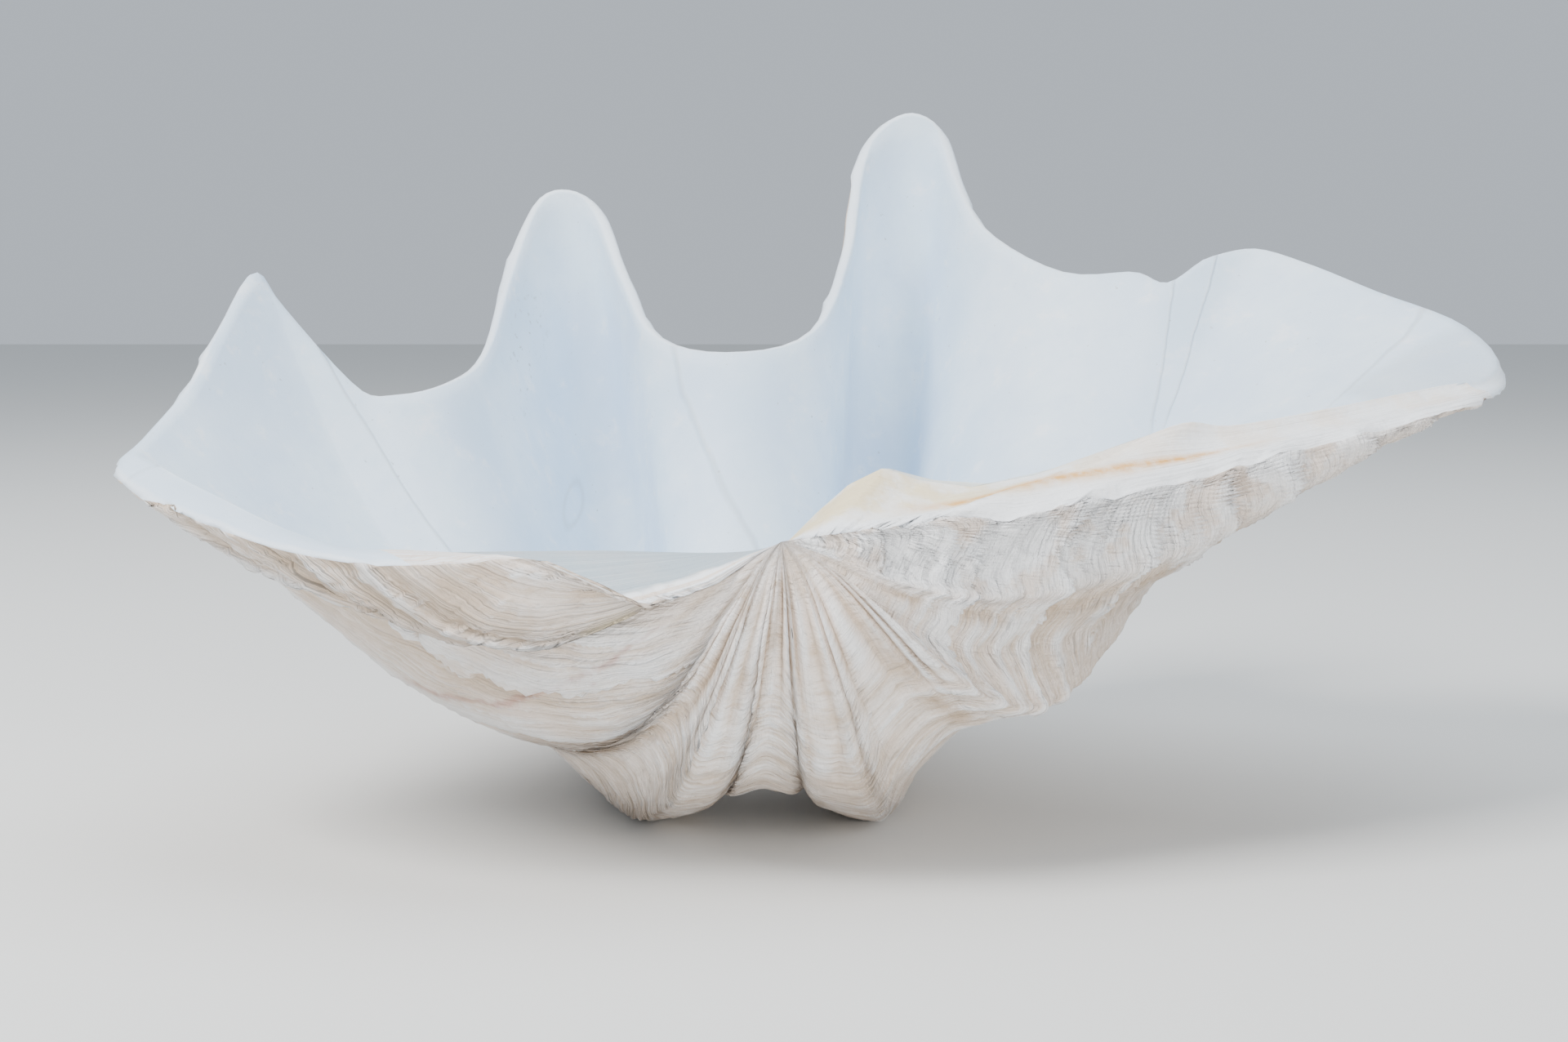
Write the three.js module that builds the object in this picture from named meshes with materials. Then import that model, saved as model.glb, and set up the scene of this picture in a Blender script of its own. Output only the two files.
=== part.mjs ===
// One half of a giant clam's shell, lying cup up on the bottoms of its middle ribs.
// Millimetres, +Z up, the hinge towards -Y. The shell is modelled from its beak, the point that it
// grew from, and moved at the end so that the middle of its footprint stands on the origin.
// It grew as one piece, so it is one closed solid: an outer wall and an inner wall that both grow by
// one rule, joined round the edge, and joined through the thick hinge plate along the back.
import * as THREE from 'three';

const COIL = THREE.MathUtils.degToRad(73);       // outer wall's turn for each e-fold of growth
const COIL_START = 0.1;                          // growth before the beak, which keeps its coil open
const INNER_TURN = THREE.MathUtils.degToRad(66); // inner wall's turn from the hinge plate to the edge
const FIRST_GROWTH = 0.04;                       // size of the first modelled growth line, edge = 1
const FIRST_INNER = 0.04;                        // the same for the inner wall
const EDGE_THICKNESS = 7;                        // wall thickness at the edge
const INNER_SAG = 0.92;                          // share of the outer wall's sag that the inner wall takes
const INNER_SPREAD = 0.9;                        // the same for its spread
const PLATE_START = [-4, 32, -8];                // inner corner of the hinge plate, behind the beak
const BYSSAL_SHELF = [-52, 12, 14];              // inner edge's set-back over the byssal notch
const HINGE_SHELF = [95, 46, 26];                // inner edge's set-back at the hinge plate's far end
const TOOTH_X = 34;                              // hinge tooth's middle, across from the beak
const TOOTH_WIDTH = 13;
const TOOTH_HEIGHT = 16;
const WORN_BOTTOM = 4;                           // depth worn off flat under the ribs that it stands on
const STEPS_PER_POINT = 2;                       // grid columns for each edge point
const GROWTH_ROWS = 22;                          // grid rows from the beak to the edge

// The edge, from the byssal notch round the far side to the hinge plate's end. Each row is a point on
// the edge, across, back and up from the beak, then how far the wall below it sags back and up, then
// how its sideways growth is spread: under 1 is early, over 1 is late.
const EDGE = [
  // byssal notch and the flared side beyond it
  [-49, -14, -22, 0, -1, 1],
  [-84, -16, -5, 0, -16, 1.02],
  [-119, -10, -7, 5, -30, 1.03],
  [-150, -2, -8, 7, -35, 1.05],
  [-184, 10, -4, 8, -30, 1.06],
  [-217, 30, 4, 8, -23, 1.08],
  // left end lobe
  [-245, 54, 11, 6, -17, 1.03],
  [-264, 85, 19, 2, -11, 0.98],
  [-262, 120, 26, 2, -17, 0.93],
  // first finger, pointed
  [-253, 160, 46, 1, -32, 0.88],
  [-248, 190, 70, 0, -46, 0.95],
  [-240, 222, 94, 0, -53, 1.03],
  [-226, 228, 78, 0, -48, 1.11],
  // first bay
  [-194, 230, 42, 0, -34, 1.05],
  [-175, 236, 38, 0, -34, 0.99],
  [-156, 255, 43, -1, -41, 0.96],
  // second finger, broad
  [-145, 290, 55, 3, -44, 0.93],
  [-139, 335, 88, 16, -50, 0.86],
  [-127, 365, 127, 47, -59, 0.79],
  [-110, 374, 136, 53, -56, 0.83],
  [-91, 368, 126, 48, -47, 0.99],
  [-75, 336, 92, 17, -32, 1.14],
  // middle bay
  [-57, 300, 63, 2, -37, 1.1],
  [-22, 280, 56, 0, -38, 1.06],
  [12, 304, 66, 2, -37, 1.03],
  // third finger, the tallest
  [29, 350, 104, 17, -28, 1.01],
  [37, 388, 148, 33, -39, 0.84],
  [49, 398, 168, 45, -49, 0.67],
  [67, 402, 176, 50, -58, 0.5],
  [84, 398, 166, 42, -52, 0.52],
  [92, 378, 139, 15, -33, 0.53],
  [105, 348, 113, 2, -13, 0.55],
  // third bay, shallow, with a nick at its end
  [137, 310, 93, -1, 6, 0.57],
  [169, 298, 93, -1, 6, 0.6],
  [183, 290, 88, -1, 8, 0.61],
  // fourth finger, low and broad
  [202, 296, 100, -1, 10, 0.62],
  [226, 300, 104, -1, 16, 0.63],
  [250, 284, 96, 0, 21, 0.76],
  [275, 254, 83, 1, 25, 0.9],
  // right end
  [301, 210, 69, -4, 25, 1.03],
  [307, 165, 52, -9, 25, 0.99],
  [292, 132, 44, -15, 20, 0.96],
  [261, 105, 39, -18, 11, 0.92],
  // outer edge of the hinge plate
  [204, 72, 28, -15, 4, 0.94],
  [152, 44, 18, -9, -2, 0.96],
  [104, 22, 10, -4, -5, 0.98],
  [57, 6, 6, 0, -8, 1],
];

const SPANS = EDGE.length - 1;
const COLUMNS = SPANS * STEPS_PER_POINT + 1;

// Smooth curve through rows of numbers, evaluated at a place given in rows.
function alongEdge(place) {
  const i = Math.min(Math.floor(place), SPANS - 1);
  const t = place - i;
  const row = (n) => EDGE[Math.min(Math.max(n, 0), SPANS)];
  return EDGE[0].map((_, c) => {
    const [a, b, d, e] = [row(i - 1)[c], row(i)[c], row(i + 1)[c], row(i + 2)[c]];
    const slopeIn = (d - a) / 2;
    const slopeOut = (e - b) / 2;
    return b + t * slopeIn + t * t * (3 * (d - b) - 2 * slopeIn - slopeOut)
      + t * t * t * (2 * (b - d) + slopeIn + slopeOut);
  });
}

// Age of a growth line, 1 at the edge.
function age(size) {
  return (size + COIL_START) / (1 + COIL_START);
}

// Growth rule: the edge made smaller, spread sideways, and turned down and forward about the hinge line.
function grown(from, edge, size, spread, turn) {
  const out = edge.clone().sub(from).multiplyScalar(size);
  out.x *= age(size) ** (spread - 1);
  out.applyAxisAngle(new THREE.Vector3(1, 0, 0), -turn);
  return out.add(from);
}

// Sag of a wall, none at the beak or the edge and most two thirds of the way out.
function sagShare(size) {
  return 6.75 * size * size * (1 - size);
}

const beak = new THREE.Vector3(0, 0, 0);
const plateStart = new THREE.Vector3(...PLATE_START);

function outerPoint(place, size) {
  const [x, y, z, sagBack, sagUp, spread] = alongEdge(place);
  const point = grown(beak, new THREE.Vector3(x, y, z), size, spread, -COIL * Math.log(age(size)));
  point.y += sagBack * sagShare(size);
  point.z += sagUp * sagShare(size);
  return point;
}

// Outward direction of the outer wall at its edge, from two short steps on the wall.
function edgeNormal(place) {
  const along = outerPoint(Math.min(place + 0.05, SPANS), 1).sub(outerPoint(Math.max(place - 0.05, 0), 1));
  const outward = outerPoint(place, 1).sub(outerPoint(place, 0.98));
  return outward.cross(along).normalize();
}

function innerPoint(place, size) {
  const [, , , sagBack, sagUp, spread] = alongEdge(place);
  const atNotch = 1 - THREE.MathUtils.smoothstep(place, 0, 3.5);
  const atHinge = THREE.MathUtils.smoothstep(place, SPANS - 5, SPANS);
  const edge = outerPoint(place, 1).addScaledVector(edgeNormal(place), -EDGE_THICKNESS);
  edge.addScaledVector(new THREE.Vector3(...BYSSAL_SHELF), atNotch);
  edge.addScaledVector(new THREE.Vector3(...HINGE_SHELF), atHinge);
  const innerSpread = 1 + INNER_SPREAD * (spread - 1);
  const point = grown(plateStart, edge, size, innerSpread, INNER_TURN * (1 - size));
  point.y += INNER_SAG * sagBack * sagShare(size);
  point.z += INNER_SAG * sagUp * sagShare(size) * (1 - atNotch);
  const tooth = Math.exp(-(((point.x - TOOTH_X) / TOOTH_WIDTH) ** 2));
  point.z += TOOTH_HEIGHT * tooth * THREE.MathUtils.smoothstep(place, SPANS - 3.5, SPANS);
  return point;
}

const points = [];
const triangles = [];

function addPoint(point) {
  points.push(point);
  return points.length - 1;
}

function addQuad(a, b, c, d) {
  triangles.push(a, b, c, a, c, d);
}

const beakIndex = addPoint(beak);
const plateIndex = addPoint(plateStart);
const outer = [];
const inner = [];
for (let column = 0; column < COLUMNS; column += 1) {
  const place = column / STEPS_PER_POINT;
  outer.push([]);
  inner.push([]);
  for (let row = 0; row < GROWTH_ROWS; row += 1) {
    const step = row / (GROWTH_ROWS - 1);
    outer[column].push(addPoint(outerPoint(place, FIRST_GROWTH ** (1 - step))));
    inner[column].push(addPoint(innerPoint(place, THREE.MathUtils.lerp(FIRST_INNER, 1, step))));
  }
}

const lastRow = GROWTH_ROWS - 1;
for (let column = 0; column < COLUMNS - 1; column += 1) {
  const next = column + 1;
  triangles.push(beakIndex, outer[column][0], outer[next][0]);
  triangles.push(plateIndex, inner[next][0], inner[column][0]);
  for (let row = 0; row < lastRow; row += 1) {
    addQuad(outer[column][row + 1], outer[next][row + 1], outer[next][row], outer[column][row]);
    addQuad(inner[column][row], inner[next][row], inner[next][row + 1], inner[column][row + 1]);
  }
  addQuad(inner[column][lastRow], inner[next][lastRow], outer[next][lastRow], outer[column][lastRow]);
}

// The hinge plate's top closes the solid along both of its sides.
const lastColumn = COLUMNS - 1;
addQuad(beakIndex, plateIndex, inner[0][0], outer[0][0]);
addQuad(outer[lastColumn][0], inner[lastColumn][0], plateIndex, beakIndex);
for (let row = 0; row < lastRow; row += 1) {
  const next = row + 1;
  addQuad(outer[0][row], inner[0][row], inner[0][next], outer[0][next]);
  addQuad(outer[lastColumn][next], inner[lastColumn][next], inner[lastColumn][row], outer[lastColumn][row]);
}

// Stand it on the origin, and wear the lowest spots flat.
const box = new THREE.Box3().setFromPoints(points);
const middle = box.getCenter(new THREE.Vector3());
for (const point of points) {
  point.x -= middle.x;
  point.y -= middle.y;
  point.z = Math.max(point.z - box.min.z - WORN_BOTTOM, 0);
}

const geometry = new THREE.BufferGeometry().setFromPoints(points);
geometry.setIndex(triangles);
geometry.computeVertexNormals();

const shellMaterial = new THREE.MeshStandardMaterial({ color: 0xe6e1d8, roughness: 0.6, metalness: 0 });
const shell = new THREE.Mesh(geometry, shellMaterial);
shell.name = 'clam_shell';

const part = new THREE.Group();
part.add(shell);

export default part;
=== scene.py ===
"""Giant clam shell half: the visible shell, its materials and the studio it is shown in."""
import math
from collections import namedtuple

import bpy
import numpy as np
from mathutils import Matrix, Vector


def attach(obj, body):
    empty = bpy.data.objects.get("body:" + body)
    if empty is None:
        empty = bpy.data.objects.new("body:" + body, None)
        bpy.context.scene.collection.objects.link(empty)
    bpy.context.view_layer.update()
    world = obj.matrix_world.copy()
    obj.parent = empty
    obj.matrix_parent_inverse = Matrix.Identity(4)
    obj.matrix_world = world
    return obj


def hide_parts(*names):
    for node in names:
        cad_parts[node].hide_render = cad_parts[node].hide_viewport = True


bl_info = {
    "name": "Giant clam shell half",
    "version": (1, 0, 0),
    "blender": (4, 5, 0),
    "location": "3D View > Sidebar > Clam shell",
    "description": "Grows one half of a giant clam's shell and sets up a plain studio round it",
    "category": "Object",
}

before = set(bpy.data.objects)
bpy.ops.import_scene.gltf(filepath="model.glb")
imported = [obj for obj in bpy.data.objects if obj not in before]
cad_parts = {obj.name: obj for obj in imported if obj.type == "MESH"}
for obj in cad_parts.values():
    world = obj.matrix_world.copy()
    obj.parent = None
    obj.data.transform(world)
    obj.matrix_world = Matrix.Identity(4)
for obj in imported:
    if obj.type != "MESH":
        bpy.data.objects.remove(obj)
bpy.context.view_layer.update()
MM = 0.001

# The beak is the point that the shell grew from. Every other place is given from it, in millimetres:
# across, back from the hinge, and up.
BEAK = Vector((-0.0211, -0.1930, 0.1315))

# The edge, from the notch beside the beak round the fingers to the hinge plate's end: a point on the
# edge, how far the wall below it sags back and up, and how its sideways growth is spread (under 1 is
# early, over 1 is late).
EDGE = [
    # notch and the flared side beyond it
    (-49, -14, -22, 0, -1, 1.00),
    (-84, -16, -5, 0, -16, 1.02),
    (-119, -10, -7, 5, -30, 1.03),
    (-150, -2, -8, 7, -35, 1.05),
    (-184, 10, -4, 8, -30, 1.06),
    (-217, 30, 4, 8, -23, 1.08),
    # left end lobe
    (-245, 54, 11, 6, -17, 1.03),
    (-264, 85, 19, 2, -11, 0.98),
    (-262, 120, 26, 2, -17, 0.93),
    # first finger, pointed
    (-253, 160, 46, 1, -32, 0.88),
    (-248, 190, 70, 0, -46, 0.95),
    (-240, 222, 94, 0, -53, 1.03),
    (-226, 228, 78, 0, -48, 1.11),
    # first bay
    (-194, 230, 42, 0, -34, 1.05),
    (-175, 236, 38, 0, -34, 0.99),
    (-156, 255, 43, -1, -41, 0.96),
    # second finger, broad
    (-145, 290, 55, 3, -44, 0.93),
    (-139, 335, 88, 16, -50, 0.86),
    (-127, 365, 127, 47, -59, 0.79),
    (-110, 374, 136, 53, -56, 0.83),
    (-91, 368, 126, 48, -47, 0.99),
    (-75, 336, 92, 17, -32, 1.14),
    # middle bay
    (-57, 300, 63, 2, -37, 1.10),
    (-22, 280, 56, 0, -38, 1.06),
    (12, 304, 66, 2, -37, 1.03),
    # third finger, the tallest
    (29, 350, 104, 17, -28, 1.01),
    (37, 388, 148, 33, -39, 0.84),
    (49, 398, 168, 45, -49, 0.67),
    (67, 402, 176, 50, -58, 0.50),
    (84, 398, 166, 42, -52, 0.52),
    (92, 378, 139, 15, -33, 0.53),
    (105, 348, 113, 2, -13, 0.55),
    # third bay, shallow, with a nick at its end
    (137, 310, 93, -1, 6, 0.57),
    (169, 298, 93, -1, 6, 0.60),
    (183, 290, 88, -1, 8, 0.61),
    # fourth finger, low and broad
    (202, 296, 100, -1, 10, 0.62),
    (226, 300, 104, -1, 16, 0.63),
    (250, 284, 96, 0, 21, 0.76),
    (275, 254, 83, 1, 25, 0.90),
    # right end
    (301, 210, 69, -4, 25, 1.03),
    (307, 165, 52, -9, 25, 0.99),
    (292, 132, 44, -15, 20, 0.96),
    (261, 105, 39, -18, 11, 0.92),
    # outer edge of the hinge plate
    (204, 72, 28, -15, 4, 0.94),
    (152, 44, 18, -9, -2, 0.96),
    (104, 22, 10, -4, -5, 0.98),
    (57, 6, 6, 0, -8, 1.00),
]
SPANS = len(EDGE) - 1

# Where the inside's edge stands well in from the outer edge: edge row, then its point.
LEFT_SHELF = [
    (0, -112, 20, -6),
    (1, -124, 19, -6),
    (2, -140, 18, -5),
    (3, -162, 18, -4),
    (4, -187, 30, 2),
    (5, -211, 48, 10),
    (6, -235, 68, 18),
    (7, -255, 94, 24),
]
RIGHT_SHELF = [
    (41, 282, 140, 51),
    (42, 252, 120, 47),
    (43, 208, 92, 41),
    (44, 175, 76, 37),
    (45, 157, 66, 39),
    (46, 140, 60, 34),
]

# The hinge plate's inner edge to each side of the beak: size of the growth line, then its point.
LEFT_RAIL = [
    (0.0, -4, 26, -7),
    (0.25, -32, 25, -7),
    (0.55, -66, 24, -6),
    (0.8, -93, 22, -6),
    (1.0, -112, 20, -6),
]
RIGHT_RAIL = [
    (0.0, -4, 26, -7),
    (0.1, 3, 24, -2),
    (0.18, 13, 25, 8),
    (0.27, 25, 30, 18),
    (0.36, 38, 34, 24),
    (0.45, 52, 38, 19),
    (0.58, 72, 42, 16),
    (0.75, 96, 48, 20),
    (1.0, 140, 60, 34),
]

# The outer rim to each side of the beak, in the same way.
NOTCH_RAIL = [
    (0.0, 0, 0, 0),
    (0.18, -9, -3, -5),
    (0.3, -15, -6, -9),
    (0.47, -23, -10, -14),
    (0.7, -34, -12, -18),
    (0.94, -46, -14, -21.5),
    (1.0, -49, -14, -22),
]
PLATE_RAIL = [
    (0.0, 0, 0, 0),
    (0.12, 7, -3, 1.5),
    (0.3, 17, -4, 3),
    (0.5, 29, -3, 4.5),
    (0.75, 43, 1, 5.5),
    (1.0, 57, 6, 6),
]

# Stained furrows between the folds: edge row at the beak, drift towards the edge, half width, reach.
FURROWS = [
    (16.9, -10.6, 0.45, 0.7),
    (24.4, -14.0, 0.35, 0.42),
    (32.5, 1.5, 0.45, 0.6),
]
# Thin ridge lines on the inside, a little raised and painted grey as the shade along their creases: edge
# row at the edge, drift towards the hinge, half width, reach.
RIDGE_SHADE_LINES = [
    (12.45, 7.2, 0.10, 0.55),
    (22.25, 4.5, 0.08, 0.6),
    (34.2, 4.2, 0.07, 0.7),
    (35.2, 1.6, 0.05, 0.7),
    (38.6, 2.5, 0.05, 0.75),
    (6.4, 14.5, 0.08, 0.84),
]
GROWTH_STOPS = [0.19, 0.235, 0.275, 0.31, 0.36]      # strong growth lines on the fourth fold
FURROW_DEPTH = 0.7 * MM
LUMP_HEIGHT = 3.0 * MM

# Stretches of the edge, in edge rows.
FAN_ROWS = (10.0, 38.0)
LEFT_FLANK = (0.5, 12.0)
RIGHT_FLANK = (38.0, 46.5)
FOURTH_FOLD = (31.5, 40.0)
NOTCH_RIM = (0.5, 8.0)
HINGE_RIM = (42.5, 47.0)

# Marks: edge row, size, then how far each way they reach.
RED_MARKS = [(9.5, 0.25, 0.10, 0.008), (9.1, 0.272, 0.07, 0.006), (9.9, 0.232, 0.06, 0.005)]
CREAM_PATCH = (2.2, 0.5, 1.2, 0.2)
DARK_SPOT = (25.75, 0.08, 0.3, 0.007)
SPECKS = (17.1, 0.95, 1.1, 0.05)
RING_MARK = (17.75, 0.79, 0.6, 0.03)
RED_STEP_ROW = 9.55
# Painted shadow: the line of shade below the hinge plate's rim on the right flank, laid in the furrows'
# brown.
FLANK_SHADOW_LINE = (40.4, 0.0, 0.45, 0.75)     # brown band on the right flank, given as a furrow is
DARK = (0.03, 0.025, 0.02)

SAG_PEAK = 6.75          # makes the sag's share reach 1
UNDERCUT = 0.6           # how far the wall lies below the rim beside the beak, in millimetres
OVER_ALL = 60.0          # higher than the wall ever comes on the left
EDGE_BULGE = 0.3         # roundness of the edge, as a share of its thickness
PLATE_WAVE = 2.0         # rise and fall across the hinge plate's right, in millimetres
SHARP_LEFT = 6.5         # edge rows from the left whose inner line is sharp
SHARP_RIGHT = 5.5        # and from the right

COLUMNS_PER_ROW = 9      # outside's columns between two edge rows
OUTSIDE_ROWS = 180       # outside's steps from the beak to the edge; the inside has half
RIBBON_ROWS = 6          # steps across the edge and the hinge plate
OUTSIDE, HINGE, INSIDE = range(3)        # the three finishes, in the order of their materials
MAP_EDGE, MAP_WIDTH = 0.004, 0.992       # the map's margin and width


# ---------------------------------------------------------------- shell's growth sheet

EdgeFacts = namedtuple("EdgeFacts", "edge inner sag outward spread")


def smooth(low, high, value):
    """0 at low, 1 at high, with soft ends."""
    share = np.clip((np.asarray(value, float) - low) / (high - low), 0.0, 1.0)
    return share * share * (3 - 2 * share)


def along_rows(rows, place):
    """Smooth curve through rows of numbers, at places counted in rows."""
    rows = np.asarray(rows, float)
    last = len(rows) - 1
    i = np.minimum(np.floor(place).astype(int), last - 1)
    t = (place - i)[:, None]
    before, here = rows[np.maximum(i - 1, 0)], rows[i]
    there, after = rows[i + 1], rows[np.minimum(i + 2, last)]
    leave, reach = (there - before) / 2, (after - here) / 2
    return (here + t * leave + t ** 2 * (3 * (there - here) - 2 * leave - reach)
            + t ** 3 * (2 * (here - there) + leave + reach))


def rail_points(rail, size):
    """Points of a rail at sizes of the growth line."""
    rail = np.asarray(rail, float)
    return np.stack([np.interp(size, rail[:, 0], rail[:, c]) for c in (1, 2, 3)], axis=1)


def turned(point, angle):
    """Points turned about the hinge line, the X axis."""
    cos, sin = np.cos(angle), np.sin(angle)
    x, y, z = point[..., 0], point[..., 1], point[..., 2]
    return np.stack([x, y * cos - z * sin, y * sin + z * cos], axis=-1)


def line_age(size, sizes):
    """Age of a growth line: a little over 0 at the beak, 1 at the edge."""
    return (size + sizes.coil_start) / (1 + sizes.coil_start)


def sag_share(size):
    """Share of the sag that a growth line has: none at the beak and the edge, all at two thirds."""
    return (SAG_PEAK * size * size * (1 - size))[:, None]


def edge_facts(place, sizes):
    """Edge points, inner edge points, sags, outward directions and spreads along the edge."""
    rows = along_rows(EDGE, place)
    edge = rows[:, :3]
    flat = np.zeros(len(rows))
    sag = np.stack([flat, rows[:, 3], rows[:, 4]], axis=1)
    step = 0.02
    ahead = along_rows(EDGE, np.minimum(place + step, SPANS))[:, :3]
    behind = along_rows(EDGE, np.maximum(place - step, 0))[:, :3]
    late = 1 + sizes.coil_start
    coiling = np.stack([flat, -edge[:, 2], edge[:, 1]], axis=1)
    outward = edge + sizes.coil / late * coiling - SAG_PEAK * sag
    outward[:, 0] *= 1 + (rows[:, 5] - 1) / late
    outward /= np.linalg.norm(outward, axis=1)[:, None]
    normal = np.cross(outward, ahead - behind)
    normal /= np.linalg.norm(normal, axis=1)[:, None]
    inner = edge - normal * sizes.edge_thickness / MM
    left_end, right_start = LEFT_SHELF[-1][0], RIGHT_SHELF[0][0]
    for shelf, share in (
            (LEFT_SHELF, 1 - smooth(left_end - 0.5, left_end + 1.5, place)),
            (RIGHT_SHELF, smooth(right_start - 1.5, right_start + 0.5, place))):
        shelf = np.asarray(shelf, float)
        on_shelf = np.clip(place - shelf[0, 0], 0, shelf[-1, 0] - shelf[0, 0])
        inner += share[:, None] * (along_rows(shelf[:, 1:], on_shelf) - inner)
    return EdgeFacts(edge, inner, sag, outward, rows[:, 5])


def inner_rule(facts, size, sizes):
    """Inner wall's place at sizes of the growth line: it grows from the hinge plate."""
    start = np.array(LEFT_RAIL[0][1:], float)
    reach = (facts.inner - start) * size[:, None]
    reach[:, 0] *= line_age(size, sizes) ** (sizes.inner_spread * (facts.spread - 1))
    point = start + turned(reach, -sizes.inner_turn * (1 - size))
    return point + sizes.inner_sag * facts.sag * sag_share(size)


def outer_rule(facts, size, sizes):
    """Outer wall's place at sizes of the growth line: a log spiral about the hinge line."""
    age = line_age(size, sizes)
    reach = facts.edge * size[:, None]
    reach[:, 0] *= age ** (facts.spread - 1)
    return turned(reach, sizes.coil * np.log(age)) + facts.sag * sag_share(size)


def rail_gap(rule, rails, size, sizes):
    """How far rails stand from a growth rule. Each rail has its edge row and its share."""
    total = np.zeros((len(size), 3))
    for rail, row, share in rails:
        facts = edge_facts(np.full(len(size), row), sizes)
        total += share[:, None] * (rail_points(rail, size) - rule(facts, size, sizes))
    return total


def plate_lift(place, size, sizes):
    """What brings the inner wall to the hinge plate's inner edge."""
    size = np.broadcast_to(size, len(place)).astype(float)
    return rail_gap(inner_rule, (
        (LEFT_RAIL, 0.0, 1 - smooth(0, 5, place)),
        (RIGHT_RAIL, float(SPANS), smooth(SPANS - 4, SPANS, place))), size, sizes)


def rim_lift(place, size, sizes):
    """What brings the outer wall to its rim, and keeps it under the shelf beside the beak."""
    size = np.broadcast_to(size, len(place)).astype(float)
    lift = rail_gap(outer_rule, (
        (NOTCH_RAIL, 0.0, 1 - smooth(0, 3.5, place)),
        (PLATE_RAIL, float(SPANS), smooth(SPANS - 4.5, SPANS, place))), size, sizes)
    point = outer_rule(edge_facts(place, sizes), size, sizes) + lift
    rim = [(EDGE[2][0], OVER_ALL), (EDGE[1][0], EDGE[1][2])]
    rim += [(across, up) for _, across, _, up in reversed(NOTCH_RAIL)]
    across, top = zip(*rim)
    room = UNDERCUT * smooth(0, 2, place) * np.clip(-point[:, 0] / 15, 0, 1)
    excess = np.maximum(point[:, 2] - np.interp(point[:, 0], across, top) + room, 0)
    lift[:, 2] -= excess * (1 - smooth(8, 12, place)) * (point[:, 0] < 0)
    return lift


class Sheet:
    """Points and faces of the growth sheet before it is grown. Each point holds what the growth rule
    needs, and the Geometry Nodes tree turns that into its place."""

    def __init__(self):
        self.numbers = {name: [] for name in ("along", "size_out", "size_in", "wall", "spread", "crease")}
        self.vectors = {name: [] for name in ("edge_out", "edge_in", "sag", "lift")}
        self.count = 0
        self.faces = []
        self.regions = []
        self.uvs = []

    def line(self, place, facts, lift, size_out=0.0, size_in=0.0, wall=0.0, crease=0.0):
        """Add a line of points and return their numbers."""
        count = len(place)
        for name, value in (("along", place / SPANS), ("size_out", size_out), ("size_in", size_in),
                            ("wall", wall), ("spread", facts.spread), ("crease", crease)):
            self.numbers[name].append(np.broadcast_to(value, count))
        for name, value in (("edge_out", facts.edge), ("edge_in", facts.inner), ("sag", facts.sag),
                            ("lift", lift)):
            self.vectors[name].append(value)
        self.count += count
        return np.arange(self.count - count, self.count)

    def face(self, corners, region, uvs):
        self.faces.append([int(c) for c in corners])
        self.regions.append(region)
        self.uvs.extend(uvs)

    def fan(self, lines, region, low, high, faces_out):
        """Faces between lines that start from one point, with their map between two heights."""
        rows, columns = len(lines) - 1, len(lines[0]) - 1
        for r in range(rows):
            for c in range(columns):
                corners = [(r + 1, c), (r + 1, c + 1), (r, c + 1), (r, c)]
                if r == 0:
                    corners = corners[:3]
                if not faces_out:
                    corners.reverse()
                uvs = [(MAP_EDGE + MAP_WIDTH * i / columns, low + (high - low) * j / rows)
                       for j, i in corners]
                self.face([lines[j][i] for j, i in corners], region, uvs)

    def ribbon(self, rim, lines, regions):
        """Faces round the edge and the hinge plate, from the fine rim to the inner line."""
        around = len(regions)
        for i in range(around):
            j = (i + 1) % around
            f0, f1, f2 = rim[2 * i], rim[2 * i + 1], rim[(2 * i + 2) % (2 * around)]
            u0, u1 = MAP_EDGE + MAP_WIDTH * i / around, MAP_EDGE + MAP_WIDTH * (i + 1) / around
            um = (u0 + u1) / 2
            v0, v1 = 0.915, 0.925
            self.face([f0, lines[0][i], f1], regions[i], [(u0, v0), (u0, v1), (um, v0)])
            self.face([f1, lines[0][i], lines[0][j]], regions[i], [(um, v0), (u0, v1), (u1, v1)])
            self.face([f1, lines[0][j], f2], regions[i], [(um, v0), (u1, v1), (u1, v0)])
            for m in range(len(lines) - 1):
                low, high = v1 + 0.012 * m, v1 + 0.012 * (m + 1)
                self.face([lines[m][i], lines[m + 1][i], lines[m + 1][j], lines[m][j]], regions[i],
                          [(u0, low), (u0, high), (u1, high), (u1, low)])


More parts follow.
